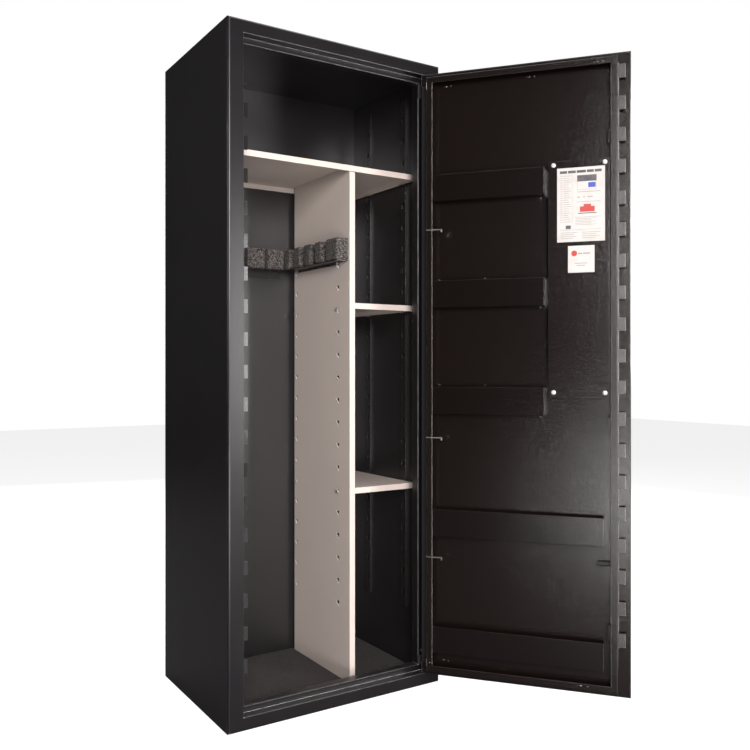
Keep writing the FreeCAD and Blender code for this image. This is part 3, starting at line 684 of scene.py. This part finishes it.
def lay_floor_mat():
    """A loose needle-felt mat, cut a little unevenly, lying on the cabinet floor."""
    bm = bmesh.new()
    bmesh.ops.create_grid(bm, x_segments=110, y_segments=76, size=0.5)
    bmesh.ops.scale(bm, vec=(542.0, 364.0, 1.0), verts=bm.verts)
    bmesh.ops.translate(bm, vec=(275.0, 213.0, 4.3), verts=bm.verts)
    for vert in bm.verts:
        near_x = min(vert.co.x - 4.0, 546.0 - vert.co.x)
        near_y = min(vert.co.y - 31.0, 395.0 - vert.co.y)
        margin = max(0.0, 1.0 - min(near_x, near_y) / 14.0)
        sway = noise.noise(vert.co * 0.012)
        ragged = noise.noise(vert.co * 0.15)
        lift = 0.6 + 0.5 * noise.noise(vert.co * 0.03 + Vector((5.0, 1.0, 0.0)))
        vert.co.z += margin * lift
        if margin > 0.99:
            vert.co.x += 0.6 * ragged
            vert.co.y += 0.8 * ragged
        vert.co.z += 0.25 * sway
    bm.normal_update()
    bmesh.ops.solidify(bm, geom=list(bm.faces), thickness=2.4)
    edges = [edge for edge in bm.edges if edge.calc_face_angle(0.0) > 1.0]
    bmesh.ops.bevel(
        bm, geom=edges, offset=0.8, segments=2, profile=0.5, affect="EDGES", material=-1
    )
    lowest = min(vert.co.z for vert in bm.verts)
    bmesh.ops.translate(bm, vec=(0.0, 0.0, 2.05 - lowest), verts=bm.verts)
    piece = settle(bm, "felt_sheet", cabinet_place(), "cabinet", [FINISH["felt_mat"]])
    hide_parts("floor_mat")
    return piece


# ---------------------------------------------------------------- steel details


SLOT_COUNT = 16
FIRST_SLOT = 187.0
SLOT_PITCH = 55.3
SLOT_DEPTHS = (148.0, 368.0)


def slot_tongues():
    """The tongue punched out and bent at the foot of every shelf slot."""
    bm = bmesh.new()
    tilt = Matrix.Rotation(math.radians(-27.0), 4, "Y")
    for k in range(SLOT_COUNT):
        height = FIRST_SLOT + SLOT_PITCH * k
        for depth in SLOT_DEPTHS:
            low = (349.0, depth - 3.6, height - 6.6)
            high = (350.2, depth + 3.6, height + 1.6)
            block(bm, low, high, 0.5, 2, tilt)
    # The tongues take a lighter copy of the grey coat, a painted highlight.
    return settle(
        bm, "slot_tongues", cabinet_place(), "cabinet",
        [FINISH["tongue_painted_highlight_coat"]],
    )


def weld_dab(bm, middle, across, up, height):
    """One small dab of weld: a low dome, a little longer than it is wide."""
    made = bmesh.ops.create_icosphere(bm, subdivisions=3, radius=1.0)
    verts = made["verts"]
    bmesh.ops.scale(bm, vec=(across, height, up), verts=verts)
    for vert in verts:
        ripple = noise.noise(vert.co * 0.9 + Vector(middle))
        vert.co *= 1.0 + 0.16 * ripple
    bmesh.ops.translate(bm, vec=middle, verts=verts)


def weld_run(bm, start, end, radius):
    """A weld bead: dabs that overlap from one point to another."""
    start = Vector(start)
    end = Vector(end)
    steps = max(2, int((end - start).length / (radius * 0.8)))
    for k in range(steps + 1):
        middle = start.lerp(end, k / steps)
        size = radius * (1.0 + 0.25 * noise.noise(middle * 1.3))
        weld_dab(bm, middle, size, size, size * 0.6)


def panel_welds():
    """Welds that join the door's panel, channel and hinge corners."""
    bm = bmesh.new()
    panel_y, rim_y = 20.0, 44.9
    for x, y, z, across, up in PANEL_WELDS:
        weld_dab(bm, (x, panel_y if y == "panel" else rim_y, z), across, up, 1.3)
    for z in (1430.0, 66.0):
        weld_run(bm, (499.2, 26.0, z), (499.2, 42.0, z), 1.7)
        weld_run(bm, (499.0, 44.8, z - 6.0), (499.0, 44.8, z + 9.0), 1.5)
    for low, high, flange in ((1158, 1220, 484), (907, 970, 484), (657, 720, 484)):
        weld_dab(bm, (flange - 9.0, panel_y, high + 4.0), 3.2, 2.6, 1.2)
        weld_dab(bm, (flange - 120.0, panel_y, high + 4.0), 3.2, 2.6, 1.2)
        weld_dab(bm, (236.0, panel_y, low - 4.0), 3.0, 2.4, 1.1)
    return settle(bm, "panel_welds", door_place(), "door", [FINISH["weld"]])


PANEL_WELDS = (
    (458, "panel", 1434, 4.0, 2.4),
    (446, "panel", 1435, 2.6, 2.0),
    (264, "panel", 1436, 7.0, 2.2),
    (250, "panel", 1435, 3.0, 2.0),
    (114, "rim", 1443, 2.6, 1.8),
    (107, "rim", 1444, 2.6, 1.8),
    (96, "rim", 1444, 4.2, 1.8),
    (492, "rim", 68, 2.2, 2.4),
    (465, "panel", 69, 3.4, 2.4),
    (452, "panel", 68, 2.0, 2.0),
    (319, "panel", 64, 4.6, 1.8),
    (145, "rim", 56, 5.5, 1.6),
    (129, "rim", 56, 3.4, 1.6),
)


# ---------------------------------------------------------------- labels and screws


def label_print():
    """Generic blocks and rules on the two labels. There is no lettering.

    Widths run from the hinge side, as they are read with the door open.
    """
    bm = bmesh.new()
    low_y, high_y = 44.38, 44.46
    dark, grey, red, blue = 0, 1, 2, 3

    def ink(label, u0, u1, v0, v1, which):
        edge, foot = label
        block(bm, (edge - u1, low_y, foot + v0), (edge - u0, high_y, foot + v1), material=which)

    large = (195.0, 1047.0)
    for start, end in ((6, 22), (24, 41), (43, 63), (65, 80), (82, 97)):
        ink(large, start, end, 153.5, 159.5, dark)
    for row in range(22):
        v = 148.0 - row * 4.9
        ink(large, 7, 12, v - 0.5, v + 0.5, grey)
        ink(large, 14, 31 - (row * 5) % 7, v - 0.5, v + 0.5, grey)
    ink(large, 33, 33.5, 40, 150, grey)
    ink(large, 44, 86, 134, 148, dark)
    ink(large, 44, 44.6, 116, 134, grey)
    ink(large, 85.4, 86, 116, 134, grey)
    ink(large, 44, 86, 115.4, 116, grey)
    ink(large, 68, 84, 120, 131, blue)
    ink(large, 44, 95, 110, 111.4, grey)
    for start, end in ((44, 50), (56, 62), (66, 78)):
        ink(large, start, end, 98, 100, grey)
    ink(large, 42, 95, 88, 89, grey)
    ink(large, 50, 82, 66, 78, red)
    ink(large, 58, 74, 78, 83, red)
    ink(large, 46, 86, 62, 64, dark)
    ink(large, 19, 30, 29, 37, dark)
    for row in range(6):
        v = 54.0 - row * 3.4
        ink(large, 40, 96 - (row * 11) % 23, v, v + 0.9, grey)
    ink(large, 6, 98, 26.5, 27.2, grey)
    for row in range(4):
        v = 20.0 - row * 4.2
        ink(large, 8, 44 - (row * 7) % 12, v, v + 1.1, grey)
        ink(large, 54, 94 - (row * 9) % 17, v, v + 1.1, grey)
    small = (171.0, 978.0)
    for start, end in ((22, 31), (33, 48)):
        ink(small, start, end, 41, 44, grey)
    for row in range(2):
        v = 20.0 - row * 5.0
        ink(small, 15 + row * 4, 42 - row * 5, v, v + 1.6, grey)
    disc = bmesh.ops.create_cone(
        bm, cap_ends=True, segments=32, radius1=6.5, radius2=6.5, depth=0.08
    )
    upright = Matrix.Rotation(math.radians(90), 4, "X")
    bmesh.ops.rotate(bm, cent=(0, 0, 0), matrix=upright, verts=disc["verts"])
    middle = (small[0] - 13.5, (low_y + high_y) / 2, small[1] + 43.0)
    bmesh.ops.translate(bm, vec=middle, verts=disc["verts"])
    for face in {face for vert in disc["verts"] for face in vert.link_faces}:
        face.material_index = red
    inks = [FINISH["dark_ink"], FINISH["grey_ink"], FINISH["red_ink"], FINISH["blue_ink"]]
    return settle(bm, "label_print", door_place(), "door", inks, smooth=False)


def lathe(bm, profile, steps):
    """Spins a closed profile of (radius, height) pairs about the z axis."""
    points = [bm.verts.new((radius, 0.0, height)) for radius, height in profile]
    edges = [bm.edges.new(pair) for pair in zip(points, points[1:])]
    bmesh.ops.spin(
        bm,
        geom=points + edges,
        cent=(0, 0, 0),
        axis=(0, 0, 1),
        angle=math.tau,
        steps=steps,
        use_merge=True,
    )
    bmesh.ops.remove_doubles(bm, verts=bm.verts, dist=0.001)
    bmesh.ops.recalc_face_normals(bm, faces=bm.faces)


def cut_away(bm, cutter_bm):
    """What is left of one body after another is cut out of it."""
    holders = []
    for name, body in (("blank", bm), ("cutter", cutter_bm)):
        mesh = bpy.data.meshes.new(name)
        body.to_mesh(mesh)
        body.free()
        holder = bpy.data.objects.new(name, mesh)
        bpy.context.scene.collection.objects.link(holder)
        holders.append(holder)
    blank, cutter = holders
    cut = blank.modifiers.new("cut", "BOOLEAN")
    cut.operation = "DIFFERENCE"
    cut.object = cutter
    graph = bpy.context.evaluated_depsgraph_get()
    result = bpy.data.meshes.new_from_object(blank.evaluated_get(graph))
    bpy.data.objects.remove(blank)
    bpy.data.objects.remove(cutter)
    return result


def screw_head():
    """A pan head, 10.4 mm across, with a cross recess."""
    head = bmesh.new()
    profile = [
        (0.0, 2.6), (1.6, 2.5), (3.2, 2.1), (4.4, 1.4), (5.0, 0.7), (5.2, 0.0), (0.0, 0.0),
    ]
    lathe(head, profile, 40)
    cross = bmesh.new()
    arm, half, recess_floor, recess_rise = 2.6, 0.5, 0.9, 4.0
    quarter = [(arm, -half), (arm, half), (half, half)]
    outline = []
    for turn in range(4):
        spin = Matrix.Rotation(math.radians(90 * turn), 2)
        outline.extend(spin @ Vector(corner) for corner in quarter)
    corners = [cross.verts.new((corner.x, corner.y, recess_floor)) for corner in outline]
    floor_face = cross.faces.new(corners)
    raised = bmesh.ops.extrude_face_region(cross, geom=[floor_face])
    top = [item for item in raised["geom"] if isinstance(item, bmesh.types.BMVert)]
    bmesh.ops.translate(cross, vec=(0.0, 0.0, recess_rise), verts=top)
    bmesh.ops.recalc_face_normals(cross, faces=cross.faces)
    return cut_away(head, cross)


# Where each screw stands on the cover, and the angle of its recess.
COVER_SCREWS = ((91, 709.5, 12), (203, 709.5, 51), (91, 1221, 33), (203, 1221, 74))
COVER_FACE = 43.95


def cover_screws():
    """Four bright screws that hold the lock cover, each stopped at its own angle."""
    head = screw_head()
    bm = bmesh.new()
    stand = Matrix.Rotation(math.radians(-90), 4, "X")
    for x, z, angle in COVER_SCREWS:
        known = set(bm.verts)
        bm.from_mesh(head)
        verts = [vert for vert in bm.verts if vert not in known]
        turn = stand @ Matrix.Rotation(math.radians(angle), 4, "Z")
        bmesh.ops.rotate(bm, cent=(0, 0, 0), matrix=turn, verts=verts)
        bmesh.ops.translate(bm, vec=(x, COVER_FACE, z), verts=verts)
    bpy.data.meshes.remove(head)
    piece = settle(
        bm, "screw_heads", door_place(), "door", [FINISH["bright_screw"]],
        smooth=False,
    )
    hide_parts("cover_screws")
    return piece


# ---------------------------------------------------------------- studio


def studio():
    """A pale floor and soft lights round the cabinet."""
    floor_mesh = bpy.data.meshes.new("floor")
    bm = bmesh.new()
    bmesh.ops.create_grid(bm, x_segments=1, y_segments=1, size=9.0)
    bmesh.ops.translate(bm, vec=(0.0, 0.0, -0.0005), verts=bm.verts)
    bm.to_mesh(floor_mesh)
    bm.free()
    floor = bpy.data.objects.new("floor", floor_mesh)
    bpy.context.scene.collection.objects.link(floor)
    material, tree, shader, place = start_material("studio_floor", 0.6, specular=0.2)
    cloud = add_node(tree, "TexNoise", {"Vector": place, "Scale": 1.5, "Detail": 3.0})
    pale = mix_colour(tree, cloud.outputs[0], (0.25, 0.25, 0.25, 1), (0.28, 0.28, 0.28, 1))
    path = tree.nodes.new("ShaderNodeLightPath")
    seen_share = path.outputs["Is Camera Ray"]
    shown = mix_colour(tree, seen_share, (0.06, 0.06, 0.06, 1), pale)
    tree.links.new(shown, shader.inputs["Base Color"])
    shader.inputs["Emission Color"].default_value = (1, 1, 1, 1)
    glow = maths(tree, "MULTIPLY", seen_share, FLOOR_GLOW)
    tree.links.new(glow, shader.inputs["Emission Strength"])
    floor_mesh.materials.append(material)

    world = bpy.data.worlds.new("studio")
    bpy.context.scene.world = world
    world.use_nodes = True
    sky = world.node_tree
    sky.nodes.clear()
    seen = add_node(sky, "Background", {"Color": (1, 1, 1, 1), "Strength": 1.0})
    fill = add_node(sky, "Background", {"Color": (1, 1, 1, 1), "Strength": WORLD_FILL})
    path = sky.nodes.new("ShaderNodeLightPath")
    either = sky.nodes.new("ShaderNodeMixShader")
    sky.links.new(path.outputs["Is Camera Ray"], either.inputs[0])
    sky.links.new(fill.outputs[0], either.inputs[1])
    sky.links.new(seen.outputs[0], either.inputs[2])
    end = sky.nodes.new("ShaderNodeOutputWorld")
    sky.links.new(either.outputs[0], end.inputs[0])

    for name, place, aim, size, power in LIGHTS:
        lamp = bpy.data.lights.new(name, "AREA")
        lamp.shape = "RECTANGLE"
        lamp.size = size[0]
        lamp.size_y = size[1]
        lamp.energy = power
        lamp.color = LIGHT_COLOUR
        holder = bpy.data.objects.new(name, lamp)
        bpy.context.scene.collection.objects.link(holder)
        holder.location = place
        holder.rotation_euler = (Vector(aim) - Vector(place)).to_track_quat("-Z", "Y").to_euler()


WORLD_FILL = 0.03
FLOOR_GLOW = 0.86
LIGHT_COLOUR = (1.0, 0.96, 0.965)
LIGHTS = (
    ("softbox_front", (1.30, -3.0, 1.05), (-0.1, 0.0, 0.9), (1.5, 1.2), 8.0),
    ("softbox_right", (1.62, -3.0, 0.95), (0.0, 0.0, 0.9), (0.8, 1.2), 58.0),
    ("strip_behind_camera", (-0.80, -2.05, 0.72), (0.3, -0.2, 0.75), (0.25, 1.3), 2.0),
    ("key_left", (-1.3, -3.3, 1.7), (0.1, 0.0, 0.8), (1.2, 1.2), 150.0),
    ("floor_bounce", (-0.7, -2.2, 0.12), (0.1, 0.0, 1.0), (1.6, 0.5), 40.0),
    ("overhead", (0.0, -0.5, 3.4), (0.0, 0.0, 0.7), (3.0, 2.0), 60.0),
    ("fill_behind", (0.9, 3.4, 1.6), (0.0, 0.0, 0.8), (2.4, 1.8), 130.0),
    ("fill_right", (3.3, 0.7, 1.5), (0.3, 0.0, 0.8), (1.6, 1.6), 110.0),
    ("fill_left", (-3.2, 0.9, 1.6), (-0.2, 0.0, 0.8), (1.2, 1.2), 22.0),
)


def camera():
    """The viewer stands in front and to the left, at chest height of the cabinet."""
    lens = bpy.data.cameras.new("camera")
    lens.lens = 39.65
    lens.sensor_width = 36.0
    lens.shift_y = -0.0104
    lens.dof.use_dof = False
    lens.clip_end = 60.0
    holder = bpy.data.objects.new("camera", lens)
    bpy.context.scene.collection.objects.link(holder)
    holder.location = (-0.9493, -1.8093, 0.7666)
    holder.rotation_euler = Vector((0.542, 0.8403, 0.0)).to_track_quat("-Z", "Y").to_euler()
    bpy.context.scene.camera = holder
    bpy.context.scene.view_settings.view_transform = "Standard"


# ---------------------------------------------------------------- build

for thing in list(bpy.data.objects):
    bpy.data.objects.remove(thing)

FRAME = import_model()
NODES = FRAME["nodes"]

FINISH = {
    "cabinet_shell": cabinet_shell(
        {"dark": (0.006, 0.0052, 0.006, 1), "light": (0.0095, 0.0085, 0.0097, 1),
         "rough": 0.30, "pimples": 620.0},
        {"dark": (0.010, 0.0088, 0.0092, 1), "light": (0.014, 0.0125, 0.013, 1),
         "rough": 0.30, "peel": 0.05},
    ),
    "outer_coat": painted_steel(
        "outer_coat", (0.007, 0.006, 0.007, 1), (0.011, 0.0098, 0.0112, 1),
        (0.08, 0.08, 0.08, 1), (0.30, 0.33), (1.0, 0.00009), 620.0, (0.0012, 0.3, 0.0), 0.05,
    ),
    # Frame coat: its pale edge colour, spread over most edges, is a painted highlight along the
    # opening's edges and stop lip.
    "frame_coat": painted_steel(
        "frame_coat", (0.0035, 0.003, 0.0036, 1), (0.007, 0.006, 0.0072, 1),
        (0.60, 0.58, 0.58, 1), (0.28, 0.32), (1.0, 0.00009), 620.0, (0.0017, 0.9, 0.7), 0.08,
    ),
    # A lighter copy of the grey coat: painted highlight for the light that the tilted tongues
    # catch.
    "tongue_painted_highlight_coat": painted_steel(
        "tongue_painted_highlight_coat", (0.66, 0.61, 0.56, 1), (0.72, 0.67, 0.62, 1),
        (0.80, 0.78, 0.75, 1), (0.36, 0.44), (1.0, 0.00003), 800.0, (0.0004, 0.5, 0.2), 0.0,
    ),
    "inner_coat": painted_steel(
        "inner_coat", (0.010, 0.009, 0.009, 1), (0.017, 0.015, 0.015, 1),
        (0.20, 0.19, 0.18, 1), (0.24, 0.30), (1.0, 0.000012), 700.0, (0.0009, 0.15, 0.0), 0.15,
    ),
    "comb_coat": painted_steel(
        "comb_coat", (0.010, 0.009, 0.009, 1), (0.017, 0.015, 0.015, 1),
        (0.20, 0.19, 0.18, 1), (0.12, 0.16), (1.0, 0.00002), 620.0, (0.0008, 0.5, 0.2), 0.05,
        specular=1.0, coat=1.0,
    ),
    "grey_coat": painted_steel(
        "grey_powder_coat", (0.495, 0.43, 0.385, 1), (0.545, 0.475, 0.425, 1),
        (0.30, 0.29, 0.28, 1), (0.42, 0.52), (1.0, 0.00003), 800.0, (0.0008, 0.35, 0.0), 0.06,
    ),
    "hammered_black": hammered_steel(
        "hammered_black", (0.0036, 0.0021, 0.0017, 1), (0.0075, 0.0048, 0.0040, 1), 0.17,
        (300.0, 0.00008), (0.0008, 0.25, 0.0),
    ),
    # A lighter copy of the hammered black, with edge colour on all edges: painted highlight on the
    # comb teeth and their edges.
    "hammered_comb_painted_highlight": hammered_steel(
        "hammered_comb_painted_highlight", (0.014, 0.012, 0.0125, 1), (0.06, 0.055, 0.056, 1), 0.20,
        (420.0, 0.00012), (0.0012, 1.0, 1.0),
    ),
    # A little darker than the panel's enamel, with a painted highlight in patches along the trays'
    # upright edges.
    "hammered_tray": hammered_steel(
        "hammered_tray", (0.0030, 0.0018, 0.0015, 1), (0.0055, 0.0034, 0.0028, 1), 0.17,
        (300.0, 0.00007), (0.0007, 0.6, 0.5),
    ),
    # Same enamel as the panel, with a wider, stronger painted edge highlight: the bright lines
    # along the hinge-side rims.
    "hammered_rim": hammered_steel(
        "hammered_rim", (0.0036, 0.0021, 0.0017, 1), (0.0075, 0.0048, 0.0040, 1), 0.20,
        (300.0, 0.00010), (0.0013, 0.7, 0.8),
    ),
    "weld": painted_steel(
        "painted_weld", (0.012, 0.009, 0.008, 1), (0.03, 0.024, 0.022, 1),
        (0.30, 0.28, 0.26, 1), (0.12, 0.2), (1.0, 0.00004), 900.0, (0.0004, 0.8, 0.0), 0.0,
        specular=1.0,
    ),
    "zinc": plated_steel(
        "zinc_plated", (0.62, 0.61, 0.59, 1), (0.46, 0.45, 0.42, 1), 0.28, (900.0, 900.0, 90.0)
    ),
    "chrome": plated_steel(
        "chrome_fittings", (0.42, 0.42, 0.43, 1), (0.35, 0.35, 0.36, 1), 0.34,
        (300.0, 300.0, 300.0),
    ),
    "bright_screw": plated_steel(
        "bright_screw", (0.74, 0.73, 0.71, 1), (0.62, 0.61, 0.59, 1), 0.38,
        (500.0, 500.0, 500.0), metallic=0.5,
    ),
    "nickel": plated_steel(
        "nickel_key", (0.50, 0.47, 0.41, 1), (0.38, 0.355, 0.31, 1), 0.27, (700.0, 700.0, 60.0)
    ),
    "grey_foam": grey_foam(),
    "felt_mat": felt_mat(),
    "black_rubber": black_rubber(),
    "label_paper": printed_paper("label_paper", (0.47, 0.455, 0.435, 1), (0.42, 0.395, 0.36, 1)),
    "dark_ink": printed_paper("dark_ink", (0.05, 0.05, 0.06, 1), (0.10, 0.10, 0.10, 1)),
    "grey_ink": printed_paper("grey_ink", (0.22, 0.21, 0.20, 1), (0.28, 0.26, 0.24, 1)),
    "red_ink": printed_paper("red_ink", (0.40, 0.03, 0.025, 1), (0.34, 0.05, 0.04, 1)),
    "blue_ink": printed_paper("blue_ink", (0.035, 0.055, 0.34, 1), (0.06, 0.08, 0.28, 1)),
}
TRAYS = ["door_tray_%d" % number for number in range(1, 6)]

assign(["body_wrap"], FINISH["cabinet_shell"])
assign(["top_plate", "bottom_plate", "door_skin"], FINISH["outer_coat"])
assign(["front_frame"], FINISH["frame_coat"])
assign(["frame_comb"], FINISH["comb_coat"])
assign(["shelf_rails", "rack_carrier_back", "rack_carrier_side", "frame_hinge_blocks"],
       FINISH["inner_coat"])
assign(["partition", "top_shelf", "middle_shelf", "lower_shelf"], FINISH["grey_coat"])
assign(["door_panel", "comb_guides", "lock_cover"], FINISH["hammered_black"])
assign(["door_channel", "door_hinge_corners"], FINISH["hammered_rim"])
assign(TRAYS, FINISH["hammered_tray"])
assign(["comb_bar"], FINISH["hammered_comb_painted_highlight"])
assign(["door_hooks", "hinge_pins", "hinge_washers", "shelf_clips", "lock_case", "lock_bolt",
        "cover_posts", "spindle", "crank"], FINISH["zinc"])
assign(["handle_lever", "handle_rose", "key_escutcheon", "cover_screws"], FINISH["chrome"])
assign(["key"], FINISH["nickel"])
assign(["hinge_pads", "door_buffer"], FINISH["black_rubber"])
assign(["label_large", "label_small"], FINISH["label_paper"])
assign(["foam_rack_back", "foam_rack_side"], FINISH["grey_foam"])
assign(["floor_mat"], FINISH["felt_mat"])

foam_racks()
lay_floor_mat()
slot_tongues()
panel_welds()
label_print()
cover_screws()
studio()
camera()
